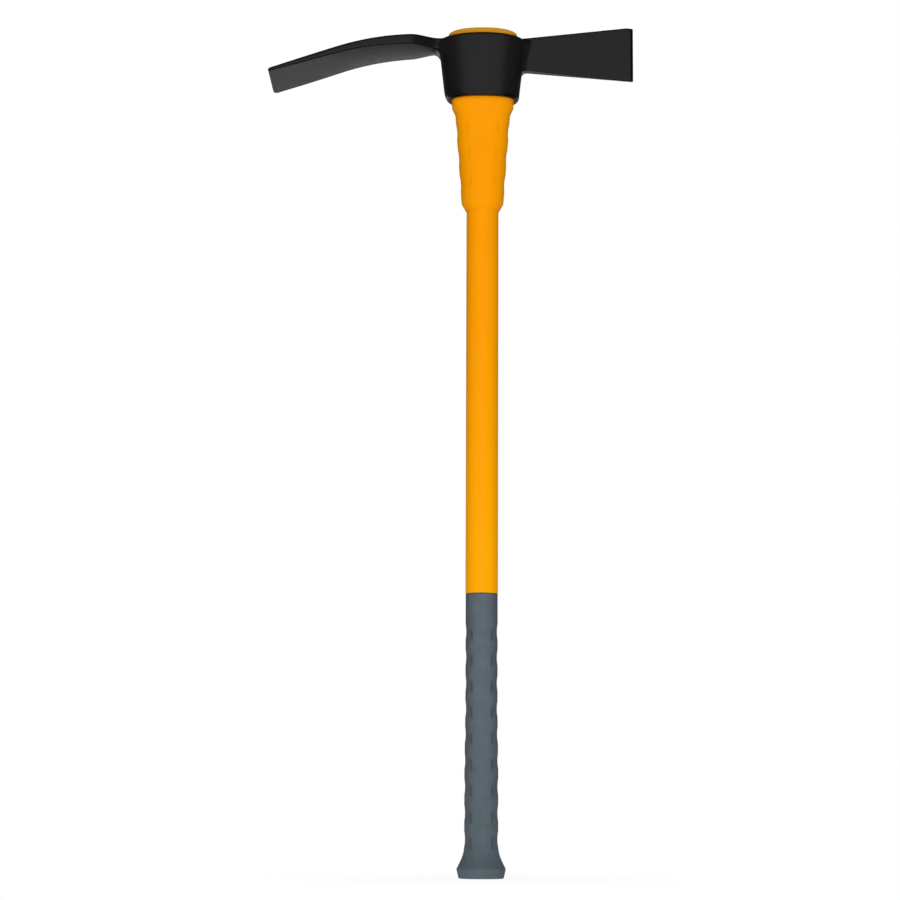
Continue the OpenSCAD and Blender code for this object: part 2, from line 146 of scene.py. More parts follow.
class MattockHead(bpy.types.PropertyGroup):
    """Sizes of the forged head."""

    eye_top_z: length("Eye top", "Height of the eye's top rim over the floor", 903.4)
    eye_h: length("Eye height", "Height of the eye", 69.1)
    eye_foot_l: length("Eye foot length", "Length of the eye's opening at its foot", 67.4)
    eye_foot_w: length("Eye foot width", "Width of the eye's opening at its foot", 45.2)
    eye_top_l: length("Eye top length", "Length of the eye's opening at its top", 74.6)
    eye_top_w: length("Eye top width", "Width of the eye's opening at its top", 50.0)
    eye_foot_wall: length("Foot wall", "Wall at the cutter's end of the eye's foot", 5.4)
    eye_top_wall: length("Top wall", "Wall at the cutter's end of the eye's top", 9.7)
    adze_wall: length("Adze wall", "Extra wall at the adze's end of the eye", 1.7)
    cheek_wall: length("Cheek wall", "Wall of the eye's cheeks", 7.0)
    eye_fall: length("Rim fall", "Fall of the top rim from the cheeks to the ends", 2.8)
    eye_top_r: length("Rim radius", "Radius of the eye's top edge", 2.0)
    eye_foot_r: length("Foot radius", "Radius of the eye's foot at the cheeks", 1.4)
    adze_foot_in: length("Adze foot inset", "Depth of the eye's rounded foot on the adze's side", 5.2)
    adze_foot_up: length("Adze foot rise", "Height of the eye's rounded foot on the adze's side", 11.0)
    cutter_foot_in: length("Cutter foot inset", "Depth of the eye's rounded foot on the cutter's side", 3.0)
    cutter_foot_up: length("Cutter foot rise", "Height of the eye's rounded foot on the cutter's side", 4.0)
    clearance: length("Clearance", "Clearance between the sleeve and the eye", 0.1)
    adze_reach: length("Adze reach", "Reach of the adze from the handle's axis", 231.0)
    adze_drop: length("Adze drop", "Depth of the adze's root under the eye's top", 7.9)
    adze_straight: length("Adze straight", "Straight run of the adze from the axis to the bend", 62.0)
    adze_bend_r: length("Bend radius", "Radius of the adze's bend", 307.0)
    adze_bend_a: angle("Bend angle", "Angle of the adze's bend", 18.1)
    adze_edge_w: length("Adze edge", "Width of the adze's cutting edge", 93.2)
    adze_root_w: length("Adze root", "Width that the adze's flared sides would reach at the eye", 57.0)
    adze_neck_w: length("Adze neck", "Width of the adze's neck", 28.0)
    adze_shoulder: length("Adze shoulder", "Length of the adze's rounded shoulders", 31.0)
    adze_root_t: length("Neck thickness", "Thickness of the adze at its neck", 12.4)
    adze_edge_t: length("Edge thickness", "Thickness of the adze at its edge", 3.2)
    adze_crown: length("Adze crown", "Depth by which the edges of the adze's underside are relieved", 0.9)
    adze_corner_r: length("Adze corners", "Radius of the corners of the adze's edge", 3.5)
    adze_tip: length("Adze tip", "Length of the worn end of the adze's edge", 9.0)
    adze_wear: length("Adze wear", "Depth of the wear at the end of the adze's edge", 2.0)
    adze_side_r: length("Adze sides", "Radius of the adze's long edges", 1.8)
    adze_fillet_r: length("Adze fillet", "Radius of the fillet under the adze's neck", 10.5)
    cutter_reach: length("Cutter reach", "Reach of the cutter from the handle's axis", 163.9)
    cutter_drop: length("Cutter drop", "Depth of the cutter's middle under the eye's top", 17.6)
    cutter_root_h: length("Cutter neck", "Height of the cutter's neck", 35.5)
    cutter_rise: length("Cutter rise", "Rise of the cutter's back from the neck to the edge", 14.4)
    cutter_fall: length("Cutter fall", "Fall of the cutter's belly from the neck to the edge", 11.2)
    cutter_root_t: length("Cutter neck thickness", "Thickness of the cutter at its neck", 14.2)
    cutter_edge_t: length("Cutter thickness", "Thickness of the cutter behind the bevel", 3.2)
    cutter_bevel: length("Cutter bevel", "Length of the cutter's ground bevel", 2.8)
    cutter_blunt_t: length("Blunt edge", "Thickness of the cutter's blunt edge", 0.9)
    cutter_tip: length("Cutter tip", "Length of the worn tip of the cutter's back", 9.0)
    cutter_wear: length("Cutter wear", "Fall of the cutter's back along the worn tip", 1.2)
    cutter_corner_r: length("Cutter corners", "Radius of the corners of the cutter's edge", 1.2)
    cutter_side_r: length("Cutter sides", "Radius of the cutter's long edges", 0.9)
    cutter_fillet_r: length("Cutter fillet", "Radius of the fillet under the cutter's neck", 6.0)
    # Painted dark reflection: a band along the cutter's ground bevel is painted darker, where its slope
    # reflects a dark surround
    ground: length("Ground edge", "Length of the dark band at the cutter's edge", 4.0)
    bevel_shade_full: length("Full ground edge", "Length of the darkest part of the cutter's dark band", 1.6)
    web_r: length("Webs", "Radius of the webs that spread the necks over the eye", 10.0)
    rim_fillet_r: length("Rim fillets", "Radius where the blades' tops meet the rim", 1.2)
    cell: length("Cell", "Size of one cell of the head's skin", 0.98)


class MattockHandle(bpy.types.PropertyGroup):
    """Sizes of the sleeve, the jacket and the grip."""

    crown_side: length("Crown side", "Height of the crown's side, from the rim to the dome", 4.1)
    lip_h: length("Lip", "Height of the lip under the eye", 8.3)
    lip_bevel: length("Lip bevel", "Height of the bevel under the lip", 7.3)
    collar_top_l: length("Collar top length", "Length of the collar's oval at its top", 59.4)
    collar_top_w: length("Collar top width", "Width of the collar's oval at its top", 43.0)
    collar_foot_l: length("Collar foot length", "Length of the collar's oval at its foot", 45.2)
    collar_foot_w: length("Collar foot width", "Width of the collar's oval at its foot", 43.2)
    foot_chamfer: length("Foot chamfer", "Height of the chamfer under the collar", 8.0)
    foot_edge: length("Foot edge", "Thickness of the sleeve's lower edge", 0.8)
    spigot_r: length("Spigot radius", "Radius of the jacket's spigot in the sleeve", 15.75)
    tail_r: length("Tail radius", "Radius of the jacket's tail under the grip", 14.7)
    collar_groove_n: IntProperty(
        name="Collar grooves", description="Grooves on a side of the collar", default=3, min=0)
    collar_groove_pitch: length("Collar pitch", "Spacing of the collar's grooves", 28.6)
    collar_groove_first: length(
        "Collar first groove", "Height of the collar's lowest groove over the sleeve's edge", 31.0)
    collar_low_end_a: angle("Low groove end", "Angle from the lowest collar groove's middle to its end", 59.4)
    collar_top_end_a: angle("Top groove end", "Angle from the top collar groove's middle to its end", 51.0)
    collar_slant: length("Collar slant", "Height over which the ends of the collar's grooves slant", 57.0)
    collar_run_a: angle("Collar run-out", "Angle from a collar groove's middle to its run-out", 46.0)
    sleeve_soft: length("Sleeve edges", "Half-height over which the sleeve's edges are softened", 0.9)
    jacket_edge: length("Jacket edge", "Chamfer of the jacket over the grip", 0.4)
    groove_n: IntProperty(
        name="Grip grooves", description="Grooves on a side of the grip", default=9, min=0)
    groove_pitch: length("Grip pitch", "Spacing of the grip's grooves", 27.1)
    groove_first: length("Grip first groove", "Height of the grip's lowest groove over the floor", 40.8)
    groove_h: length("Groove height", "Height of one groove", 17.0)
    groove_depth: length("Groove depth", "Depth of one groove", 0.75)
    groove_end_a: angle("Groove end", "Angle from a grip groove's middle to its end", 56.0)
    groove_run_a: angle("Groove run-out", "Slope of the run-out at a groove's ends", 15.0)
    groove_lean: length("Groove lean", "Fall of a grip groove from its middle to its ends", 5.2)
    # Painted shade at the grooves' ends grows from this angle to the end
    groove_shade_a: angle(
        "Groove shade", "Angle from a grip groove's middle to where its ends turn dark", 27.0)
    grip_top_r: length("Grip top", "Radius of the upper part of the grip", 16.95)
    grip_edge_r: length("Grip edge", "Radius of the grip's top edge", 0.7)
    # Painted shade: a dark band along the grip's top edge stands in for the shadow at its joint with the
    # jacket
    grip_band: length("Grip band", "Height of the dark band along the grip's top edge", 1.4)
    grip_soft: length("Grip edges", "Half-height over which the grip's edges are softened", 0.6)
    grip_swell_r: length("Grip swell", "Radius of the swell in the grip's lower part", 17.8)
    swell_top: length("Swell top", "Height of the swell's top", 116.0)
    swell_taper: length("Swell taper", "Length of the taper above the swell", 58.0)
    butt_rim_r: length("Butt rim", "Radius of the butt's rim", 25.9)
    butt_rim_h: length("Rim height", "Height of the butt's rim over the base", 9.8)
    butt_base_r: length("Butt base", "Radius of the butt's base", 24.0)
    butt_edge_r: length("Base edge", "Radius of the edge round the butt's base", 1.6)
    flare_a: angle("Flare", "Slope of the butt's flare from the axis", 26.0)
    flare_r: length("Flare curve", "Radius of the curve that joins the flare to the grip", 38.0)


class MattockFinish(bpy.types.PropertyGroup):
    """Colours of the finishes, and where they change."""

    enamel: colour("Enamel", "Black enamel on the forging", (0.0088, 0.0087, 0.0094))
    # Painted shade: darker enamel on edges that face up and at the ends of the eye's foot, where less light
    # falls
    enamel_edge_shade: colour("Edge enamel", "Darker enamel along the edges", (0.0025, 0.0025, 0.0028))
    # Painted dark reflection on the cutter's ground bevel
    bevel_shade: colour("Ground edge", "Dark ground bevel of the cutter", (0.0025, 0.0025, 0.003))
    plastic: colour("Plastic", "Orange-yellow plastic of the sleeve and jacket", (0.93, 0.345, 0.001))
    plastic_deep: colour("Deep plastic", "Darker cloud in the plastic", (0.90, 0.330, 0.001))
    plastic_low: colour("Low plastic", "Yellower plastic of the jacket near the grip", (0.92, 0.385, 0.001))
    low_z: length("Low height", "Height under which the jacket is yellowest", 350.0)
    high_z: length("High height", "Height over which the jacket is plain", 600.0)
    # Painted shade on the crown, which faces up away from the light, and the height over which it fades in
    plastic_crown_shade: colour("Crown plastic", "Duller plastic of the crown", (0.64, 0.285, 0.012))
    crown_shade_fade: length("Crown fade", "Half-height over which the crown turns dull", 2.0)
    rubber: colour("Rubber", "Grey rubber of the grip", (0.104, 0.132, 0.156))
    rubber_dull: colour("Dull rubber", "Duller patches in the rubber", (0.088, 0.110, 0.126))
    # Painted shade at the ends of the grip's grooves and along its top edge
    rubber_shade: colour("Groove rubber", "Darker rubber at the ends of the grooves", (0.068, 0.089, 0.098))
    fibreglass: colour("Fibreglass", "Fibreglass of the pultruded rod", (0.62, 0.55, 0.36))
    epoxy: colour("Epoxy", "Cured bonding epoxy", (0.50, 0.36, 0.15))


class MattockStage(bpy.types.PropertyGroup):
    """Camera, floor and light of the studio."""

    camera_x: length("Camera side", "Distance of the camera to the left of the handle", 34.17)
    camera_back: length("Camera back", "Distance of the camera in front of the handle", 2709.05)
    camera_z: length("Camera height", "Height of the camera over the floor", 81.21)
    camera_pitch: angle("Camera pitch", "Upward tilt of the camera", 7.785)
    camera_roll: angle("Camera roll", "Roll of the camera", 0.22)
    lens: FloatProperty(name="Lens", description="Focal length", default=102.4, min=1.0, unit="CAMERA")
    floor_r: length("Floor", "Radius of the floor", 300.0)
    floor_near: length("Floor shade", "Distance from the handle where the floor starts to fade", 30.0)
    floor_far: length("Floor white", "Distance from the handle where the floor is plain white", 270.0)
    floor_white: number("Floor under the butt", "Share of plain white in the floor under the butt", 0.93)
    floor_glow: number("Floor glow", "Share of plain white in the floor's light on the object", 0.8)
    floor_tone: number("Floor tone", "Grey of the diffuse floor", 0.9)
    key_power: number("Key light", "Power of the low front light", 10.0)
    fill_power: number("Fill light", "Power of the light high behind", 48.0)
    rim_power: number("Rim lights", "Power of each low light behind", 5.5)
    room: number("Room light", "Strength of the light at the sides", 0.10)
    box: number("Soft box", "Strength of the soft box in front", 1.88)
    box_a: angle("Box angle", "Angle of the box's middle under the horizon", 7.0)
    box_inner_a: angle("Box size", "Angle from the box's middle to where it starts to fade", 40.0)
    box_outer_a: angle("Box edge", "Angle from the box's middle to where it ends", 44.0)
    back_edge: number("Back edge", "Cosine from straight back where the mirrored white starts", 0.92)
    back_full: number("Back middle", "Cosine from straight back where the mirrored white is full", 0.992)


# Shapes

def mix(a, b, part):
    """Straight mix of a and b."""
    return a + (b - a) * part


def ease(part):
    """Soft S from 0 to 1."""
    p = np.clip(part, 0, 1)
    return p * p * (3 - 2 * p)


def ease_slope(part):
    """Slope of the soft S."""
    p = np.clip(part, 0, 1)
    return 6 * p * (1 - p)


def round_max(a, b, r):
    """Intersection of two signed distances, with a rounded edge of radius r."""
    return np.minimum(np.maximum(a, b), -r) + np.hypot(np.maximum(a + r, 0), np.maximum(b + r, 0))


def round_min(a, b, r):
    """Union of two signed distances, with a fillet of radius r."""
    return -round_max(-a, -b, r)


def oval_gap(x, y, half_l, half_w, power):
    """Distance from the oval |x/l|^p + |y/w|^p = 1, as its level divided by its slope."""
    u = np.abs(x) / half_l
    v = np.abs(y) / half_w
    level = np.maximum((u ** power + v ** power) ** (1 / power), TINY)
    slope = np.hypot((u / level) ** (power - 1) / half_l, (v / level) ** (power - 1) / half_w)
    return (level - 1) / slope


def oval_radius(turn, half_l, half_w, power):
    """Polar radius of the oval |x/l|^p + |y/w|^p = 1 at the angle turn."""
    u = np.abs(np.cos(turn)) / half_l
    v = np.abs(np.sin(turn)) / half_w
    return (u ** power + v ** power) ** (-1 / power)


def soft_lookup(z, heights, values, blur, taps_n=9):
    """Value at each height, read from a polyline and averaged over a window of half-height blur."""
    window = z[:, None] + blur[:, None] * np.linspace(-1, 1, taps_n)
    return np.interp(window, heights, values).mean(axis=1)


def grid_quads(rows, columns, wrap_rows):
    """Corner numbers of the quads between neighbouring rows, closed round the columns."""
    k = np.arange(rows if wrap_rows else rows - 1)[:, None]
    j = np.arange(columns)[None, :]
    after = (k + 1) % rows
    beside = (j + 1) % columns
    corners = [k * columns + j, k * columns + beside, after * columns + beside, after * columns + j]
    return np.stack(np.broadcast_arrays(*corners), axis=-1).reshape(-1, 4)


def ring_skin(rings):
    """Closed skin over rings whose last one joins the first, such as a tube's wall."""
    rows, columns, _ = rings.shape
    return rings.reshape(-1, 3), grid_quads(rows, columns, True).tolist()


def capped_skin(rings):
    """Closed skin over a stack of rings, with a fan to the middle of the first and last ring."""
    rows, columns, _ = rings.shape
    poles = np.stack([rings[0].mean(axis=0), rings[-1].mean(axis=0)])
    points = np.concatenate([rings.reshape(-1, 3), poles])
    j = np.arange(columns)
    beside = (j + 1) % columns
    last = (rows - 1) * columns
    first_fan = np.stack([np.full(columns, rows * columns), beside, j], axis=-1)
    last_fan = np.stack([last + j, last + beside, np.full(columns, rows * columns + 1)], axis=-1)
    return points, grid_quads(rows, columns, False).tolist() + first_fan.tolist() + last_fan.tolist()


def side_angles(end_a, run_a, plain_n=16, run_n=10):
    """Angles round a handle piece, with lines at the ends and run-outs of its side grooves."""
    quarter = np.concatenate([
        np.linspace(0, run_a, plain_n, endpoint=False),
        np.linspace(run_a, end_a, run_n, endpoint=False),
        np.linspace(end_a, math.pi / 2, plain_n, endpoint=False),
    ])
    half = np.concatenate([quarter, [math.pi / 2], math.pi - quarter[:0:-1]])
    return np.concatenate([half, half + math.pi])


def rings_at(radius, turn, z):
    """Rings of points at a radius and an angle round the handle's axis, one ring for each height z."""
    return np.stack(np.broadcast_arrays(radius * np.cos(turn), radius * np.sin(turn), z[:, None]), axis=-1)


def groove_cut(z, first, pitch, count, height, depth):
    """Depth of a row of grooves at the heights z: one parabola for each groove."""
    nearest = np.clip(np.round((z - first) / pitch), 0, count - 1)
    across = (z - first - nearest * pitch) / (height / 2)
    return depth * np.maximum(1 - across ** 2, 0)


def add_piece(name, points, faces, material, node, crease=40, marks=None):
    """Puts a skin into a mesh of its own that rides on the root and stands for its solid. The marks are a
    share of painted shade from 0 to 1 at each point, which the finish reads."""
    mesh = bpy.data.meshes.new(name)
    mesh.from_pydata(points.tolist(), [], faces)
    mesh.update()
    mesh.shade_smooth()
    mesh.set_sharp_from_angle(angle=math.radians(crease))
    mesh.materials.append(material)
    if marks is not None:
        # Painted shade at each point, which the finish reads
        painted_shade = mesh.attributes.new("painted_shade", "FLOAT", "POINT")
        painted_shade.data.foreach_set("value", np.clip(marks, 0, 1).astype(np.float32).ravel())
    piece = bpy.data.objects.new(name, mesh)
    bpy.context.scene.collection.objects.link(piece)
    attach(piece, "root")
    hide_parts(node)
    return piece


# The forged head

def eye_part(z, head):
    """Share of the eye's height that lies under z."""
    return (z - head.eye_top_z) / head.eye_h + 1


def eye_half_l(z, head, adze_side):
    """Outer half-length of the eye at height z, on the adze's or the cutter's side: a straight taper."""
    foot = head.eye_foot_l / 2 + head.eye_foot_wall
    top = head.eye_top_l / 2 + head.eye_top_wall
    return mix(foot, top, eye_part(z, head)) + head.adze_wall * adze_side


def opening_half(z, head):
    """Half-length and half-width of the eye's oval opening at height z: straight tapers."""
    part = eye_part(z, head)
    half_l = mix(head.eye_foot_l, head.eye_top_l, part) / 2
    half_w = mix(head.eye_foot_w, head.eye_top_w, part) / 2
    return half_l, half_w


def eye_half_w(z, head):
    """Outer half-width of the eye at height z: a straight taper."""
    return opening_half(z, head)[1] + head.cheek_wall


def blade_start(head):
    """Distance from the axis to inside the eye's end walls, where both blades start."""
    return (head.eye_top_l + head.eye_top_wall) / 2


def eye_gap(x, y, z, head):
    """Distance from the eye's outside: a tapered oval, a rim that falls with the square of x, and a foot
    whose elliptic rounding grows from the cheeks to each end."""
    half_l = eye_half_l(z, head, x < 0)
    wall = oval_gap(x, y, half_l, eye_half_w(z, head), OVAL_POWER)
    toward = np.clip((x / half_l) ** 2, 0, 1)
    rim = z - head.eye_top_z + head.eye_fall * toward
    foot = head.eye_top_z - head.eye_h - z
    inset = mix(head.eye_foot_r, np.where(x < 0, head.adze_foot_in, head.cutter_foot_in), toward)
    rise = mix(head.eye_foot_r, np.where(x < 0, head.adze_foot_up, head.cutter_foot_up), toward)
    across = np.maximum(wall / inset + 1, 0)
    down = np.maximum(foot / rise + 1, 0)
    level = np.maximum(np.hypot(across, down), TINY)
    rounded = (level - 1) * level / np.maximum(np.hypot(across / inset, down / rise), TINY)
    body = np.where((across > 0) & (down > 0), rounded, np.maximum(wall, foot))
    return round_max(body, rim, head.eye_top_r)


def opening_gap(x, y, z, head):
    """Distance from the tapered oval opening, negative inside it."""
    half_l, half_w = opening_half(z, head)
    return oval_gap(x, y, half_l + head.clearance, half_w + head.clearance, OVAL_POWER)


def adze_place(x, z, head):
    """Length along the adze's middle line and height over it: straight, round the bend, straight."""
    out = -x
    low_z = head.eye_top_z - head.adze_drop - head.adze_bend_r
    turn = np.clip(np.arctan2(out - head.adze_straight, z - low_z), 0, head.adze_bend_a)
    from_out = out - head.adze_straight - head.adze_bend_r * np.sin(turn)
    from_z = z - low_z - head.adze_bend_r * np.cos(turn)
    along = head.adze_straight + head.adze_bend_r * turn + from_out * np.cos(turn) - from_z * np.sin(turn)
    return along, from_out * np.sin(turn) + from_z * np.cos(turn)


def adze_end(head):
    """Length of the adze's middle line from the handle's axis to its edge."""
    arc_x = head.adze_straight + head.adze_bend_r * math.sin(head.adze_bend_a)
    arc_l = head.adze_straight + head.adze_bend_r * head.adze_bend_a
    return arc_l + (head.adze_reach - arc_x) / math.cos(head.adze_bend_a)


def adze_size(along, head):
    """Half-width, slope of the side and half-thickness of the adze: flared sides less the shoulders."""
    eye_x = eye_half_l(head.eye_top_z - head.adze_drop, head, True)
    run = adze_end(head) - eye_x
    part = np.clip((adze_end(head) - along) / run, 0, 1)
    step = np.clip((along - eye_x) / head.adze_shoulder, 0, 1)
    flare = (head.adze_edge_w - head.adze_root_w) / 2
    neck = (head.adze_root_w - head.adze_neck_w) / 2
    half_w = head.adze_edge_w / 2 - flare * part ** ADZE_FLARE_POWER - neck * (1 - ease(step))
    slope = flare * ADZE_FLARE_POWER * part ** (ADZE_FLARE_POWER - 1) / run
    slope = slope + neck * ease_slope(step) / head.adze_shoulder
    half_t = mix(head.adze_edge_t, head.adze_root_t, 1 - (1 - part) ** ADZE_TAPER_POWER) / 2
    return half_w, slope, half_t


def adze_gap(x, y, z, head):
    """Distance from the adze: a bent, tapered slab with rounded corners and long edges, worn back by a
    parabola at the far end of its edge, with an underside crowned by a parabola in the half at the neck."""
    along, over = adze_place(x, z, head)
    half_w, slope, half_t = adze_size(along, head)
    side = (np.abs(y) - half_w) / np.sqrt(1 + slope ** 2)
    worn = np.clip(1 - (half_w - y) / head.adze_tip, 0, 1) ** 2
    plan = round_max(side, along - adze_end(head) + head.adze_wear * worn, head.adze_corner_r)
    edge_r = np.minimum(head.adze_side_r, 2 * EDGE_ROUND_SHARE * half_t)
    thick_share = 2 * half_t / head.adze_root_t
    crown_part = ease((thick_share - CROWN_START_SHARE) / (CROWN_FULL_SHARE - CROWN_START_SHARE))
    crown = head.adze_crown * crown_part * np.minimum(np.abs(y) / half_w, 1) ** 2
    return round_max(plan, np.maximum(over - half_t, crown - over - half_t), edge_r)


def cutter_size(x, head):
    """Half-thickness, back and belly of the cutter: a straight taper with a bevel, between a back that
    rises straight to a worn tip and a belly that falls straight."""
    eye_x = eye_half_l(head.eye_top_z - head.cutter_drop, head, False)
    part = np.clip((x - eye_x) / (head.cutter_reach - eye_x), 0, 1)
    thick = mix(head.cutter_root_t, head.cutter_edge_t, part)
    bevel = np.clip((head.cutter_reach - x) / head.cutter_bevel, 0, 1)
    thick = mix(head.cutter_blunt_t, thick, bevel)
    middle = head.eye_top_z - head.cutter_drop
    worn = np.clip(1 - (head.cutter_reach - x) / head.cutter_tip, 0, 1)
    back = middle + head.cutter_root_h / 2 + head.cutter_rise * part - head.cutter_wear * ease(worn)
    belly = middle - head.cutter_root_h / 2 - head.cutter_fall * part
    return thick / 2, back, belly


def cutter_gap(x, y, z, head):
    """Distance from the cutter: an upright slab with rounded corners and long edges."""
    half_t, back, belly = cutter_size(x, head)
    plan = round_max(np.maximum(z - back, belly - z), x - head.cutter_reach, head.cutter_corner_r)
    edge_r = np.minimum(head.cutter_side_r, 2 * EDGE_ROUND_SHARE * half_t)
    return round_max(plan, np.abs(y) - half_t, edge_r)


def adze_fillet(x, y, z, head):
    """Radius between the adze and the eye: wide under the neck and beside it, small along the rim."""
    _, over = adze_place(x, z, head)
    beside = ease((np.abs(y) - head.adze_neck_w / 2 + head.adze_side_r) / head.adze_side_r)
    above = ease(over / head.adze_root_t + 0.5)
    return mix(mix(head.adze_fillet_r, head.web_r, beside), head.rim_fillet_r, above)


def cutter_fillet(x, z, head):
    """Radius between the cutter and the eye: it grows from the belly up, and is small along the rim."""
    _, back, belly = cutter_size(x, head)
    web = mix(head.cutter_fillet_r, head.web_r, ease((z - belly) / (back - belly)))
    above = ease((z - back) / head.cutter_fillet_r + 1)
    return mix(web, head.rim_fillet_r, above)


def head_gap(points, head):
    """Distance from the forging: eye, adze and cutter joined by fillets, with the opening cut through."""
    x, y, z = points.T
    adze = np.maximum(adze_gap(x, y, z, head), x + blade_start(head))
    cutter = np.maximum(cutter_gap(x, y, z, head), blade_start(head) - x)
    solid = round_min(eye_gap(x, y, z, head), adze, adze_fillet(x, y, z, head))
    solid = round_min(solid, cutter, cutter_fillet(x, z, head))
    return round_max(solid, -opening_gap(x, y, z, head), head.cutter_blunt_t)


def eye_rings(head, columns=120, rows=24):
    """Rough wall of the eye: oval rings up the outside and down the opening."""
    turn = np.linspace(0, 2 * math.pi, columns, endpoint=False)
    up = np.linspace(0, 1, rows)
    foot_z = head.eye_top_z - head.eye_h
    z = foot_z + head.eye_h * np.concatenate([up, up[::-1]])
    outer = np.arange(2 * rows) < rows
    half_l, half_w = opening_half(z, head)
    half_l = np.where(outer, eye_half_l(z, head, False), half_l)
    half_w = np.where(outer, eye_half_w(z, head), half_w)
    radius = oval_radius(turn[None, :], half_l[:, None], half_w[:, None], OVAL_POWER)
    x = radius * np.cos(turn)
    drop = head.eye_fall * (x / half_l[:, None]) ** 2 * eye_part(z, head)[:, None]
    x = x - head.adze_wall * (np.cos(turn) < 0) * outer[:, None]
    return np.stack([x, radius * np.sin(turn), z[:, None] - drop], axis=-1)


def slab_rings(middle, up, half_w, half_h, columns=64, power=10.0):
    """Rough blade: a squarish section, half_w to each side along Y and half_h up and down, carried along
    the middle line."""
    turn = np.linspace(0, 2 * math.pi, columns, endpoint=False)
    across = np.sign(np.cos(turn)) * np.abs(np.cos(turn)) ** (2 / power)
    over = np.sign(np.sin(turn)) * np.abs(np.sin(turn)) ** (2 / power)
    side = np.array([0.0, 1.0, 0.0])
    return (
        middle[:, None, :]
        + side * (half_w[:, None] * across)[..., None]
        + up[:, None, :] * (half_h[:, None] * over)[..., None]
    )


def rough_adze(head, rows=90):
    """Rough adze along its middle line, from inside the eye's wall to the edge."""
    along = np.linspace(blade_start(head), adze_end(head), rows)
    half_w, _, half_t = adze_size(along, head)
    turn = np.clip((along - head.adze_straight) / head.adze_bend_r, 0, head.adze_bend_a)
    rest = along - head.adze_straight - head.adze_bend_r * turn
    x = -head.adze_straight - head.adze_bend_r * np.sin(turn) - rest * np.cos(turn)
    z = head.eye_top_z - head.adze_drop - head.adze_bend_r * (1 - np.cos(turn)) - rest * np.sin(turn)
    zero = np.zeros(rows)
    up = np.stack([-np.sin(turn), zero, np.cos(turn)], axis=-1)
    return slab_rings(np.stack([x, zero, z], axis=-1), up, half_w, half_t)


def rough_cutter(head, rows=60):
    """Rough cutter along X, from inside the eye's wall to the edge."""
    x = np.linspace(blade_start(head), head.cutter_reach, rows)
    half_t, back, belly = cutter_size(x, head)
    zero = np.zeros(rows)
    middle = np.stack([x, zero, (back + belly) / 2], axis=-1)
    up = np.stack([zero, zero, zero + 1], axis=-1)
    return slab_rings(middle, up, np.maximum(half_t, head.cutter_edge_t / 2), (back - belly) / 2)


def remeshed(parts, cell):
    """Points, faces and edges of one even skin over several overlapping closed skins."""
    mesh = bpy.data.meshes.new("rough_head")
    starts = np.cumsum([0] + [len(points) for points, _ in parts])
    faces = [[i + start for i in face] for start, (_, part) in zip(starts, parts) for face in part]
    mesh.from_pydata(np.concatenate([points for points, _ in parts]).tolist(), [], faces)
    rough = bpy.data.objects.new("rough_head", mesh)
    bpy.context.scene.collection.objects.link(rough)
    remesh = rough.modifiers.new("even", "REMESH")
    remesh.mode = "VOXEL"
    remesh.voxel_size = cell
    even = rough.evaluated_get(bpy.context.evaluated_depsgraph_get()).to_mesh()
    points = np.empty(len(even.vertices) * 3, np.float32)
    even.vertices.foreach_get("co", points)
    edges = np.empty(len(even.edges) * 2, np.int32)
    even.edges.foreach_get("vertices", edges)
    faces = [list(face.vertices) for face in even.polygons]
    bpy.data.objects.remove(rough)
    bpy.data.meshes.remove(mesh)
    return points.reshape(-1, 3).astype(float), faces, edges.reshape(-1, 2)


def head_slope(points, head, step=0.02 * MM):
    """Distance from the forging and its slope, by small steps along each axis."""
    gap = head_gap(points, head)
    slope = np.stack([(head_gap(points + step * axis, head) - gap) / step for axis in np.eye(3)], axis=-1)
    return gap, slope


def drawn_on(points, head):
    """Points moved along the slope onto the forging, and the outward directions there."""
    gap, slope = head_slope(points, head)
    steep = np.maximum((slope ** 2).sum(axis=1), LEAST_STEEP)
    move = np.clip(gap / steep, -head.cell, head.cell)
    outward = slope / np.sqrt(steep)[:, None]
    return points - move[:, None] * slope, outward


def neighbour_mean(points, edges):
    """Mean of each point's neighbours along the edges."""
    count = len(points)
    ends = np.concatenate([edges[:, 0], edges[:, 1]])
    others = np.concatenate([edges[:, 1], edges[:, 0]])
    sums = np.stack([np.bincount(ends, row[others], count) for row in points.T], axis=-1)
    return sums / np.bincount(ends, minlength=count)[:, None]


def edge_shade_marks(points, outward, edges, head, spread=3):
    """Painted shade at each point: how near it is to a sharp edge that faces up, or to one at the ends of the
    eye's foot.
    """
    convex = ((points - neighbour_mean(points, edges)) * outward).sum(axis=1, keepdims=True) / head.cell
    foot = points[:, 2:] < head.eye_top_z - head.eye_h + head.adze_foot_up
    foot_end = foot & (np.abs(points[:, :1]) > head.eye_foot_w / 2)
    upward = np.clip(outward[:, 2:] * UPWARD_GAIN, 0, 1)
    sharp = np.clip(convex * SHARP_GAIN, 0, 1) * np.where(foot_end, 1, upward)
    for _ in range(spread):
        sharp = neighbour_mean(sharp, edges)
    return sharp * SHADE_GAIN


def forged_skin(head, passes=10, settle=5):
    """Skin of the forging and its marks of painted shade: an even skin over the rough solids, evened out
    along the surface and drawn onto it."""
    parts = [ring_skin(eye_rings(head)), capped_skin(rough_adze(head)), capped_skin(rough_cutter(head))]
    points, faces, edges = remeshed(parts, head.cell)
    for _ in range(passes):
        points, outward = drawn_on(points, head)
        drift = neighbour_mean(points, edges) - points
        drift = drift - (drift * outward).sum(axis=1)[:, None] * outward
        points = points + EVEN_SHARE * drift
    for _ in range(settle):
        points, outward = drawn_on(points, head)
    left = np.abs(head_gap(points, head)).max()
    if left > SKIN_TOLERANCE:
        raise RuntimeError(f"the head's skin is {left / MM:.2f} mm off the forging")
    return points, faces, edge_shade_marks(points, outward, edges, head)


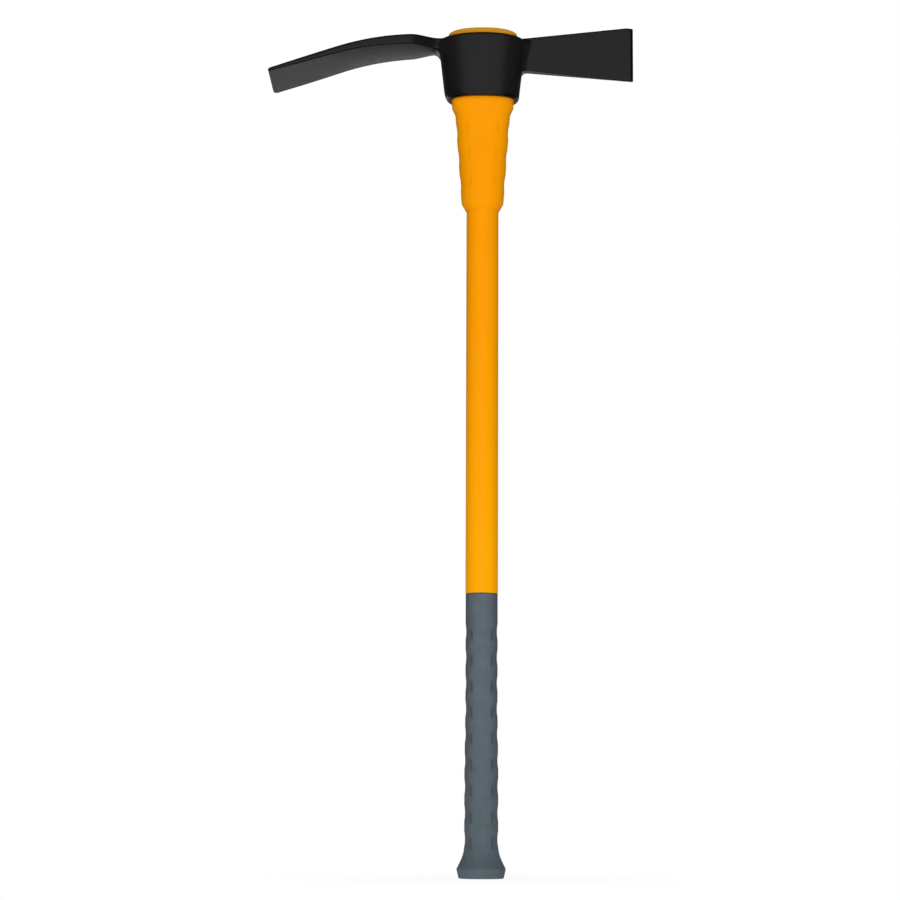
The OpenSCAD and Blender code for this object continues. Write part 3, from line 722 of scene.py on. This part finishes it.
class MATTOCK_OT_head(bpy.types.Operator):
    """Forges the head: eye, adze and cutter in one skin."""

    bl_idname = "mattock.head"
    bl_label = "Forged head"

    def execute(self, context):
        points, faces, marks = forged_skin(context.scene.mattock_head)
        add_piece(
            "forged_head", points, faces, black_enamel(), "mattock_head", crease=60,
            marks=marks)
        return {"FINISHED"}


# The handle

def folded(turn):
    """Angle from the nearer side of the handle, from 0 at the side to a right angle in front or behind."""
    return np.abs((turn + math.pi / 2) % math.pi - math.pi / 2)


def warped(turn, end_a, row_end_a):
    """Angles shifted in each quarter so that the line at end_a lies at row_end_a."""
    quarter = math.pi / 2
    moved = np.where(
        folded(turn) < end_a,
        folded(turn) * row_end_a / end_a,
        quarter - (quarter - folded(turn)) * (quarter - row_end_a) / (quarter - end_a))
    base = np.round(turn / math.pi) * math.pi
    return base + np.sign(turn - base) * moved


def groove_depth(radius, turn, cut, end_a, handle):
    """Depth of the grooves round each ring: the whole cut at the sides, run out in a plain slope at the
    ends."""
    run = np.maximum(end_a - folded(turn), 0) * radius * math.tan(handle.groove_run_a)
    return np.minimum(cut, run)


def sleeve_outline(handle, head):
    """Heights, half-lengths, half-widths and powers of the sleeve's ovals: its edge, the foot and the top
    of the collar, the lip, and the crown at the end of the eye's taper."""
    crown_z = head.eye_top_z + handle.crown_side
    lip_z = head.eye_top_z - head.eye_h - handle.lip_h
    heights = [SLEEVE_Z, SLEEVE_Z + handle.foot_chamfer, lip_z - handle.lip_bevel, lip_z, crown_z]
    lip_half_l, lip_half_w = opening_half(lip_z, head)
    crown_half_l, crown_half_w = opening_half(crown_z, head)
    edge_r = SHAFT_R + handle.foot_edge
    half_ls = [edge_r, handle.collar_foot_l / 2, handle.collar_top_l / 2, lip_half_l, crown_half_l]
    half_ws = [edge_r, handle.collar_foot_w / 2, handle.collar_top_w / 2, lip_half_w, crown_half_w]
    powers = [ROUND_POWER, ROUND_POWER, OVAL_POWER, OVAL_POWER, OVAL_POWER]
    return heights, half_ls, half_ws, powers


def sleeve_rings(handle, head, collar_n=200, eye_n=14, dome_n=28):
    """Rings of the sleeve: down the blind socket, out round the foot, up the grooved collar, the bevel,
    the lip and the eye's taper, and over the crown. The ends of the grooves lie on a slanting line."""
    heights, half_ls, half_ws, powers = sleeve_outline(handle, head)
    eye_foot_z = head.eye_top_z - head.eye_h
    crown_z = heights[-1]
    outer_z = np.concatenate([
        np.linspace(SLEEVE_Z, eye_foot_z, collar_n, endpoint=False),
        np.linspace(eye_foot_z, crown_z, eye_n)])
    to_ends = np.minimum(outer_z - SLEEVE_Z, crown_z - outer_z)
    blur = np.minimum(handle.sleeve_soft, SLEEVE_BLUR_SHARE * to_ends)
    half_l = soft_lookup(outer_z, heights, half_ls, blur)
    half_w = soft_lookup(outer_z, heights, half_ws, blur)
    power = np.interp(outer_z, heights, powers)
    low_groove_z = SLEEVE_Z + handle.collar_groove_first
    slant_z = [low_groove_z, low_groove_z + handle.collar_slant]
    end_a = np.interp(outer_z, slant_z, [handle.collar_low_end_a, handle.collar_top_end_a])
    turn = side_angles(handle.groove_end_a, handle.collar_run_a)
    turns = warped(turn[None, :], handle.groove_end_a, end_a[:, None])
    radius = oval_radius(turns, half_l[:, None], half_w[:, None], power[:, None])
    cut = groove_cut(
        outer_z, low_groove_z, handle.collar_groove_pitch, handle.collar_groove_n,
        handle.groove_h, handle.groove_depth)
    radius = radius - groove_depth(radius, turns, cut[:, None], end_a[:, None], handle)
    outside = rings_at(radius, turns, outer_z)
    rise = np.linspace(0, math.pi / 2, dome_n)[1:-1]
    dome_z = crown_z + (HANDLE_L - crown_z) * np.sin(rise)
    dome = rings_at(radius[-1] * np.cos(rise)[:, None], turns[-1], dome_z)
    bore_r = np.array([SOCKET_R / 2, SOCKET_R, SOCKET_R, handle.spigot_r, handle.spigot_r])
    bore_z = np.array([SOCKET_Z, SOCKET_Z, SPIGOT_Z, SPIGOT_Z, SLEEVE_Z])
    bore = rings_at(bore_r[:, None], turns[0], bore_z)
    return np.concatenate([bore, outside, dome])


class MATTOCK_OT_sleeve(bpy.types.Operator):
    """Moulds the sleeve that fills the eye, with its crown and its grooved collar."""

    bl_idname = "mattock.sleeve"
    bl_label = "Moulded sleeve"

    def execute(self, context):
        scene = context.scene
        points, faces = capped_skin(sleeve_rings(scene.mattock_handle, scene.mattock_head))
        add_piece("moulded_sleeve", points, faces, moulded_plastic(), "eye_sleeve")
        return {"FINISHED"}


def jacket_rings(handle, columns=192, rows=120):
    """Rings of the jacket: up the tail, the shaft and the spigot, and down the bore."""
    turn = np.linspace(0, 2 * math.pi, columns, endpoint=False)
    shaft_z = np.linspace(GRIP_L + handle.jacket_edge, SLEEVE_Z, rows)
    radius = np.concatenate([
        [CORE_R, handle.tail_r, handle.tail_r, SHAFT_R - handle.jacket_edge], np.full(rows, SHAFT_R),
        [handle.spigot_r, handle.spigot_r, CORE_R]])
    z = np.concatenate([[TAIL_Z, TAIL_Z, GRIP_L, GRIP_L], shaft_z, [SLEEVE_Z, SPIGOT_Z, SPIGOT_Z]])
    return rings_at(radius[:, None], turn, z)


class MATTOCK_OT_jacket(bpy.types.Operator):
    """Extrudes the jacket over the core."""

    bl_idname = "mattock.jacket"
    bl_label = "Extruded jacket"

    def execute(self, context):
        points, faces = ring_skin(jacket_rings(context.scene.mattock_handle))
        add_piece("extruded_jacket", points, faces, extruded_plastic(), "shaft_jacket")
        return {"FINISHED"}


def grip_outline(handle, arc_n=16):
    """Heights and radii of the grip's outline: rounded base, bevelled rim, straight flare, arc, swell
    and taper."""
    turn = np.linspace(0, math.pi / 2, arc_n)
    base_z = handle.butt_edge_r * (1 - np.cos(turn))
    base_r = handle.butt_base_r - handle.butt_edge_r * (1 - np.sin(turn))
    flare_x = handle.grip_swell_r + handle.flare_r * (1 - math.cos(handle.flare_a))
    flare_z = handle.butt_rim_h + (handle.butt_rim_r - flare_x) / math.tan(handle.flare_a)
    flare_top_z = flare_z + handle.flare_r * math.sin(handle.flare_a)
    bend = handle.flare_a * np.linspace(1, 0, arc_n)
    arc_z = flare_top_z - handle.flare_r * np.sin(bend)
    arc_r = handle.grip_swell_r + handle.flare_r * (1 - np.cos(bend))
    z = np.concatenate([
        base_z, [handle.butt_rim_h], arc_z,
        [handle.swell_top, handle.swell_top + handle.swell_taper, GRIP_L]])
    r = np.concatenate([
        base_r, [handle.butt_rim_r], arc_r,
        [handle.grip_swell_r, handle.grip_top_r, handle.grip_top_r]])
    return z, r


def grip_shade(z, turn, cut, handle):
    """How much painted shade the outside of the grip gets: towards the ends of the grooves and along the top
    edge.
    """
    in_groove = (cut / handle.groove_depth - DARK_START_SHARE) / (DARK_FULL_SHARE - DARK_START_SHARE)
    to_end = (folded(turn) - handle.groove_shade_a) / (handle.groove_end_a - handle.groove_shade_a)
    dark = np.clip(in_groove, 0, 1) * np.clip(to_end, 0, 1) * (folded(turn) < handle.groove_end_a)
    return np.maximum(dark, (z > GRIP_L - handle.grip_band)[:, None])


def grip_rings(handle, base_n=8, wall_n=380, top_n=6):
    """Rings of the grip, and how much painted shade they get: out over the base, up the grooved outside, in
    over the top and down the bore."""
    outline_z, outline_r = grip_outline(handle)
    top_r = handle.grip_edge_r
    base_z = handle.butt_edge_r * (1 - np.cos(np.linspace(0, math.pi / 2, base_n)))
    top_z = GRIP_L - top_r + top_r * np.sin(np.linspace(0, math.pi / 2, top_n))
    z = np.concatenate([base_z, np.linspace(handle.butt_edge_r, GRIP_L - top_r, wall_n)[1:-1], top_z])
    blur = np.minimum(handle.grip_soft, GRIP_BLUR_SHARE * z)
    radius = soft_lookup(z, outline_z, outline_r, blur)
    over = np.clip((z - GRIP_L + top_r) / top_r, 0, 1)
    radius = radius - top_r * (1 - np.sqrt(1 - over ** 2))
    run_a = handle.groove_end_a - handle.groove_depth / math.tan(handle.groove_run_a) / handle.grip_top_r
    turn = side_angles(handle.groove_end_a, run_a)
    toward_end = np.minimum(folded(turn) / handle.groove_end_a, 1)
    cut = groove_cut(
        z[:, None] + handle.groove_lean * toward_end ** 2, handle.groove_first, handle.groove_pitch,
        handle.groove_n, handle.groove_h, handle.groove_depth)
    depth = groove_depth(radius[:, None], turn[None, :], cut, handle.groove_end_a, handle)
    outside = rings_at(radius[:, None] - depth, turn, z)
    base = rings_at(np.array([[handle.butt_base_r / 2]]), turn, np.zeros(1))
    bore_r = np.array([handle.tail_r, handle.tail_r, handle.tail_r / 2])
    bore = rings_at(bore_r[:, None], turn, np.array([GRIP_L, TAIL_Z, TAIL_Z]))
    # Painted shade on the outside, none on the base and the bore
    dark = np.pad(grip_shade(z, turn, cut, handle), ((len(base), len(bore)), (0, 0)))
    return np.concatenate([base, outside, bore]), dark


class MATTOCK_OT_grip(bpy.types.Operator):
    """Moulds the rubber grip with its side grooves and flared butt."""

    bl_idname = "mattock.grip"
    bl_label = "Rubber grip"

    def execute(self, context):
        rings, dark = grip_rings(context.scene.mattock_handle)
        points, faces = capped_skin(rings)
        # Painted shade, none at the two poles
        dark = np.append(dark, np.zeros(len(points) - dark.size))
        add_piece("rubber_grip", points, faces, grip_rubber(), "grip", marks=dark)
        return {"FINISHED"}


class MATTOCK_OT_core(bpy.types.Operator):
    """Finishes the packed fibreglass core and its epoxy."""

    bl_idname = "mattock.core"
    bl_label = "Core and epoxy"

    def execute(self, context):
        for name, material in (("fibreglass_core", pultruded_rod()), ("core_bond", cured_epoxy())):
            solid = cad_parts[name]
            solid.data.materials.clear()
            solid.data.materials.append(material)
        return {"FINISHED"}


# Finishes

def set_inputs(tree, node, inputs):
    """Sets or links the inputs of a node."""
    for name, value in dict(inputs).items():
        if isinstance(value, bpy.types.NodeSocket):
            tree.links.new(value, node.inputs[name])
        else:
            node.inputs[name].default_value = value


def add_node(tree, kind, inputs=(), **settings):
    """A node with its settings, whose inputs are set or linked."""
    made = tree.nodes.new(kind)
    for name, value in settings.items():
        setattr(made, name, value)
    set_inputs(tree, made, inputs)
    return made


def empty_tree(owner):
    """The node tree of a material or world, with nothing in it."""
    owner.use_nodes = True
    owner.node_tree.nodes.clear()
    return owner.node_tree


def new_finish(name):
    """A material with a plain Principled shader, and its Object coordinates."""
    material = bpy.data.materials.new(name)
    tree = empty_tree(material)
    shader = add_node(tree, "ShaderNodeBsdfPrincipled")
    add_node(tree, "ShaderNodeOutputMaterial", {"Surface": shader.outputs["BSDF"]})
    place = add_node(tree, "ShaderNodeTexCoord").outputs["Object"]
    return material, tree, shader, place


def noise(tree, place, scale, detail=3.0, rough=0.5):
    """Noise with features of about 1 / scale metres."""
    made = add_node(
        tree, "ShaderNodeTexNoise", {"Vector": place, "Scale": scale, "Detail": detail, "Roughness": rough})
    return made.outputs["Fac"]


def ranged(tree, value, low, high, from_low=NOISE_LOW, from_high=NOISE_HIGH):
    """Value mapped to low and high from a span, which by default is the usual one of a noise."""
    made = add_node(
        tree, "ShaderNodeMapRange",
        {"Value": value, "From Min": from_low, "From Max": from_high, "To Min": low, "To Max": high})
    return made.outputs["Result"]


def ramp(tree, value, start, end):
    """0 at start and 1 at end, straight between them and level beyond."""
    return ranged(tree, value, 0.0, 1.0, start, end)


def painted_shade_mark(tree):
    """The painted shade that the mesh carries at each point."""
    return add_node(tree, "ShaderNodeAttribute", attribute_name="painted_shade").outputs["Fac"]


def blended(tree, part, a, b):
    """Mix of two colours, each a socket or three numbers."""
    ends = [value if isinstance(value, bpy.types.NodeSocket) else (*value, 1.0) for value in (a, b)]
    made = add_node(tree, "ShaderNodeMix", {0: part, 6: ends[0], 7: ends[1]}, data_type="RGBA")
    return made.outputs[2]


def larger(tree, a, b):
    """The larger of two values."""
    return add_node(tree, "ShaderNodeMath", {0: a, 1: b}, operation="MAXIMUM").outputs[0]


def times(tree, a, b):
    """Product of two values."""
    return add_node(tree, "ShaderNodeMath", {0: a, 1: b}, operation="MULTIPLY").outputs[0]


def along_axis(tree, place, axis):
    """One coordinate of a place."""
    return add_node(tree, "ShaderNodeSeparateXYZ", {"Vector": place}).outputs[axis]


def bumped(tree, height, depth, strength, under=None):
    """Normal of a bump whose height spans depth metres, over another bump."""
    inputs = {"Height": height, "Distance": depth, "Strength": strength}
    if under is not None:
        inputs["Normal"] = under
    return add_node(tree, "ShaderNodeBump", inputs).outputs["Normal"]


def drawn_out(tree, place, times_longer):
    """Coordinates that stretch a texture along Z."""
    scale = (1.0, 1.0, 1 / times_longer)
    return add_node(tree, "ShaderNodeMapping", {"Vector": place, "Scale": scale}).outputs["Vector"]


def black_enamel():
    """Dipped enamel on a forging: orange peel over hammer marks, painted shade and less gloss along the
    edges, and a painted dark reflection on the cutter's ground bevel.
    """
    finish = bpy.context.scene.mattock_finish
    head = bpy.context.scene.mattock_head
    material, tree, shader, place = new_finish("black_enamel")
    cloud = noise(tree, place, 38.0, detail=5.0, rough=0.6)
    # Painted shade on the marked edges, which also get less gloss
    dull = times(tree, painted_shade_mark(tree), ranged(tree, cloud, 0.7, 1.0))
    tone = blended(tree, dull, finish.enamel, finish.enamel_edge_shade)
    # Painted dark reflection in a band along the cutter's ground bevel, which also gets less gloss
    reach = head.cutter_reach
    ground = ramp(tree, along_axis(tree, place, "X"), reach - head.ground, reach - head.bevel_shade_full)
    hammer = bumped(tree, noise(tree, place, 45.0, detail=2.0), depth=0.2 * MM, strength=0.14)
    peel = bumped(tree, noise(tree, place, 700.0, detail=2.0), depth=0.03 * MM, strength=0.12, under=hammer)
    set_inputs(tree, shader, {
        "Base Color": blended(tree, ground, tone, finish.bevel_shade),
        "Specular IOR Level": ranged(tree, larger(tree, dull, ground), ENAMEL_GLOSS, DULL_GLOSS, 0.0, 1.0),
        "Roughness": ranged(tree, noise(tree, place, 160.0), 0.28, 0.34),
        "Normal": peel})
    return material


def moulded_plastic():
    """Moulded plastic with a faint cloud in its colour, a fine spark-eroded grain and painted shade on the
    crown.
    """
    finish = bpy.context.scene.mattock_finish
    rim_z = bpy.context.scene.mattock_head.eye_top_z
    material, tree, shader, place = new_finish("moulded_plastic")
    cloud = ranged(tree, noise(tree, place, 24.0, detail=4.0), 0.0, 1.0)
    tone = blended(tree, cloud, finish.plastic, finish.plastic_deep)
    # Painted shade on the crown, above the eye's rim
    crown = ramp(tree, along_axis(tree, place, "Z"), rim_z - finish.crown_shade_fade, rim_z + finish.crown_shade_fade)
    set_inputs(tree, shader, {
        "Base Color": blended(tree, crown, tone, finish.plastic_crown_shade),
        "Roughness": ranged(tree, noise(tree, place, 220.0), 0.40, 0.52),
        "Normal": bumped(tree, noise(tree, place, 1800.0, detail=2.0), depth=0.03 * MM, strength=0.4),
        **SATIN})
    return material


def extruded_plastic():
    """Extruded plastic: the same colour, yellower near the grip, with faint lines along the draw."""
    finish = bpy.context.scene.mattock_finish
    material, tree, shader, place = new_finish("extruded_plastic")
    line = noise(tree, drawn_out(tree, place, 50), 900.0)
    cloud = ranged(tree, noise(tree, drawn_out(tree, place, 25 / 3), 60.0, detail=4.0), 0.0, 1.0)
    tone = blended(tree, cloud, finish.plastic, finish.plastic_deep)
    low = ramp(tree, along_axis(tree, place, "Z"), finish.high_z, finish.low_z)
    set_inputs(tree, shader, {
        "Base Color": blended(tree, low, tone, finish.plastic_low),
        "Roughness": ranged(tree, line, 0.36, 0.48),
        "Normal": bumped(tree, line, depth=0.03 * MM, strength=0.4),
        **SATIN})
    return material


def grip_rubber():
    """Matt rubber: fine pebble, dull patches, and painted shade where the mesh marks the grip."""
    finish = bpy.context.scene.mattock_finish
    material, tree, shader, place = new_finish("grip_rubber")
    cloud = ranged(tree, noise(tree, place, 60.0, detail=5.0, rough=0.6), 0.0, 1.0)
    tone = blended(tree, cloud, finish.rubber, finish.rubber_dull)
    # Painted shade where the mesh marks the grip
    set_inputs(tree, shader, {
        "Base Color": blended(tree, painted_shade_mark(tree), tone, finish.rubber_shade),
        "Roughness": ranged(tree, noise(tree, place, 400.0), 0.68, 0.82),
        "Normal": bumped(tree, noise(tree, place, 1500.0, detail=2.0), depth=0.06 * MM, strength=0.6),
        "Specular IOR Level": RUBBER_GLOSS})
    return material


def pultruded_rod():
    """Glass fibres along the rod in clear resin."""
    finish = bpy.context.scene.mattock_finish
    material, tree, shader, place = new_finish("pultruded_rod")
    fibre = noise(tree, drawn_out(tree, place, 100), 1400.0, detail=4.0)
    pale = [min(1.0, part * FIBRE_PALE) for part in finish.fibreglass]
    set_inputs(tree, shader, {
        "Base Color": blended(tree, ranged(tree, fibre, 0.0, 1.0), finish.fibreglass, pale),
        "Roughness": ranged(tree, fibre, 0.3, 0.5),
        "Normal": bumped(tree, fibre, depth=0.05 * MM, strength=0.5)})
    return material


def cured_epoxy():
    """Amber epoxy with small bubbles."""
    finish = bpy.context.scene.mattock_finish
    material, tree, shader, place = new_finish("cured_epoxy")
    bubbles = add_node(
        tree, "ShaderNodeTexVoronoi", {"Vector": place, "Scale": 500.0}).outputs["Distance"]
    deep = [part * EPOXY_DEEP for part in finish.epoxy]
    cloud = ranged(tree, noise(tree, place, 80.0), 0.0, 1.0)
    set_inputs(tree, shader, {
        "Base Color": blended(tree, cloud, finish.epoxy, deep),
        "Roughness": ranged(tree, bubbles, 0.2, 0.35, 0.0, 0.6),
        "Normal": bumped(tree, bubbles, depth=0.05 * MM, strength=0.3)})
    return material


# The studio

def seen_rays(tree):
    """1 for camera rays, and 1 for glossy and transmitted rays, each else 0."""
    path = add_node(tree, "ShaderNodeLightPath")
    mirrored = larger(tree, path.outputs["Is Glossy Ray"], path.outputs["Is Transmission Ray"])
    return path.outputs["Is Camera Ray"], mirrored


def soft_box(tree, ray, toward, inner_a, outer_a):
    """1 for rays within inner_a of the direction toward, fading to 0 at outer_a."""
    facing = add_node(tree, "ShaderNodeVectorMath", {0: ray, 1: toward}, operation="DOT_PRODUCT")
    return ramp(tree, facing.outputs["Value"], math.cos(outer_a), math.cos(inner_a))


def studio_world(stage):
    """World with a wide soft box low in front and a dim room round it, and a plain white background to
    the eye and to mirrored rays that go straight back."""
    world = bpy.data.worlds.new("studio")
    tree = empty_tree(world)
    ray = add_node(tree, "ShaderNodeTexCoord").outputs["Generated"]
    low_front = (0.0, -math.cos(stage.box_a), -math.sin(stage.box_a))
    front = soft_box(tree, ray, low_front, stage.box_inner_a, stage.box_outer_a)
    light = ranged(tree, front, stage.room, stage.box, 0.0, 1.0)
    straight = ramp(tree, along_axis(tree, ray, "Y"), stage.back_edge, stage.back_full)
    camera, mirrored = seen_rays(tree)
    white = larger(tree, camera, times(tree, mirrored, straight))
    strength = ranged(tree, white, light, 1.0, 0.0, 1.0)
    glow = add_node(tree, "ShaderNodeBackground", {"Color": WHITE, "Strength": strength})
    add_node(tree, "ShaderNodeOutputWorld", {"Surface": glow.outputs[0]})
    return world


def white_floor(stage):
    """Pale floor: a diffuse surface with a glow, which fades into plain white as the eye sees it."""
    material = bpy.data.materials.new("white_floor")
    tree = empty_tree(material)
    place = add_node(tree, "ShaderNodeTexCoord").outputs["Object"]
    away = add_node(tree, "ShaderNodeVectorMath", {0: place}, operation="LENGTH").outputs["Value"]
    fade = ranged(tree, away, stage.floor_white, 1.0, stage.floor_near, stage.floor_far)
    seen = larger(tree, times(tree, larger(tree, *seen_rays(tree)), fade), stage.floor_glow)
    matt = add_node(tree, "ShaderNodeBsdfDiffuse", {"Color": (*[stage.floor_tone] * 3, 1.0)})
    glow = add_node(tree, "ShaderNodeEmission", {"Color": WHITE, "Strength": 1.0})
    both = add_node(tree, "ShaderNodeMixShader", {0: seen, 1: matt.outputs[0], 2: glow.outputs[0]})
    add_node(tree, "ShaderNodeOutputMaterial", {"Surface": both.outputs[0]})
    return material


def add_lamp(scene, name, power, place, aim, size):
    """Adds a soft rectangular lamp, unseen itself, that looks from place to aim."""
    lamp = bpy.data.lights.new(name, "AREA")
    lamp.shape = "RECTANGLE"
    lamp.size, lamp.size_y = size
    lamp.energy = power
    light = bpy.data.objects.new(name, lamp)
    light.location = place
    light.rotation_euler = (Vector(aim) - light.location).to_track_quat("-Z", "Y").to_euler()
    light.visible_camera = False
    scene.collection.objects.link(light)
    return light


def add_floor(scene, stage, columns=96):
    """Adds the floor: a round disc under the handle."""
    turn = np.linspace(0, 2 * math.pi, columns, endpoint=False)
    radius = stage.floor_r * np.array(FLOOR_RING_SHARES)
    rows = len(radius)
    points = rings_at(radius[:, None], turn, np.zeros(rows))[::-1].reshape(-1, 3)
    middle = list(range((rows - 1) * columns, rows * columns))
    mesh = bpy.data.meshes.new("floor")
    mesh.from_pydata(points.tolist(), [], grid_quads(rows, columns, False).tolist() + [middle])
    mesh.materials.append(white_floor(stage))
    floor = bpy.data.objects.new("floor", mesh)
    scene.collection.objects.link(floor)


def add_camera(scene, stage):
    """Adds the camera low in front of the handle, tilted up a little."""
    lens = bpy.data.cameras.new("camera")
    lens.lens = stage.lens
    lens.sensor_width = SENSOR_MM
    lens.clip_start = CLIP_NEAR
    lens.clip_end = CLIP_FAR
    camera = bpy.data.objects.new("camera", lens)
    place = Matrix.Translation((-stage.camera_x, -stage.camera_back, stage.camera_z))
    pitch = Matrix.Rotation(math.pi / 2 + stage.camera_pitch, 4, "X")
    camera.matrix_world = place @ pitch @ Matrix.Rotation(stage.camera_roll, 4, "Z")
    scene.collection.objects.link(camera)
    scene.camera = camera


class MATTOCK_OT_stage(bpy.types.Operator):
    """Sets the floor, the light and the camera."""

    bl_idname = "mattock.stage"
    bl_label = "Studio"

    def execute(self, context):
        scene = context.scene
        stage = scene.mattock_stage
        add_floor(scene, stage)
        scene.world = studio_world(stage)
        add_lamp(scene, "key", stage.key_power, **KEY_LAMP)
        add_lamp(scene, "left_rim", stage.rim_power, **LEFT_RIM_LAMP)
        add_lamp(scene, "right_rim", stage.rim_power, **RIGHT_RIM_LAMP)
        fill = add_lamp(scene, "fill", stage.fill_power, **FILL_LAMP)
        # Kept out of mirrored rays, so that the enamel stays dark
        fill.visible_glossy = False
        add_camera(scene, stage)
        scene.view_settings.view_transform = "Standard"
        return {"FINISHED"}


class MATTOCK_PT_panel(bpy.types.Panel):
    """Lists the mattock's pieces and its studio."""

    bl_label = "Mattock"
    bl_idname = "MATTOCK_PT_panel"
    bl_space_type = "VIEW_3D"
    bl_region_type = "UI"
    bl_category = "Mattock"

    def draw(self, context):
        column = self.layout.column()
        for step in STEPS:
            column.operator(step.bl_idname)
        for name in SETTINGS:
            box = self.layout.box()
            settings = getattr(context.scene, name)
            for key in settings.__annotations__:
                box.prop(settings, key)


STEPS = (
    MATTOCK_OT_head, MATTOCK_OT_sleeve, MATTOCK_OT_jacket, MATTOCK_OT_grip, MATTOCK_OT_core,
    MATTOCK_OT_stage)
SETTINGS = {
    "mattock_head": MattockHead,
    "mattock_handle": MattockHandle,
    "mattock_finish": MattockFinish,
    "mattock_stage": MattockStage,
}
CLASSES = (*SETTINGS.values(), *STEPS, MATTOCK_PT_panel)


def register():
    """Registers the classes and hangs the settings on the scene."""
    for item in CLASSES:
        bpy.utils.register_class(item)
    for name, group in SETTINGS.items():
        setattr(bpy.types.Scene, name, PointerProperty(type=group))


def unregister():
    """Takes the settings and the classes away."""
    for name in SETTINGS:
        delattr(bpy.types.Scene, name)
    for item in reversed(CLASSES):
        bpy.utils.unregister_class(item)


def main():
    """Builds the pieces and the studio."""
    register()
    for step in STEPS:
        group, name = step.bl_idname.split(".")
        getattr(getattr(bpy.ops, group), name)()
    bpy.context.view_layer.update()


if __name__ == "__main__":
    main()
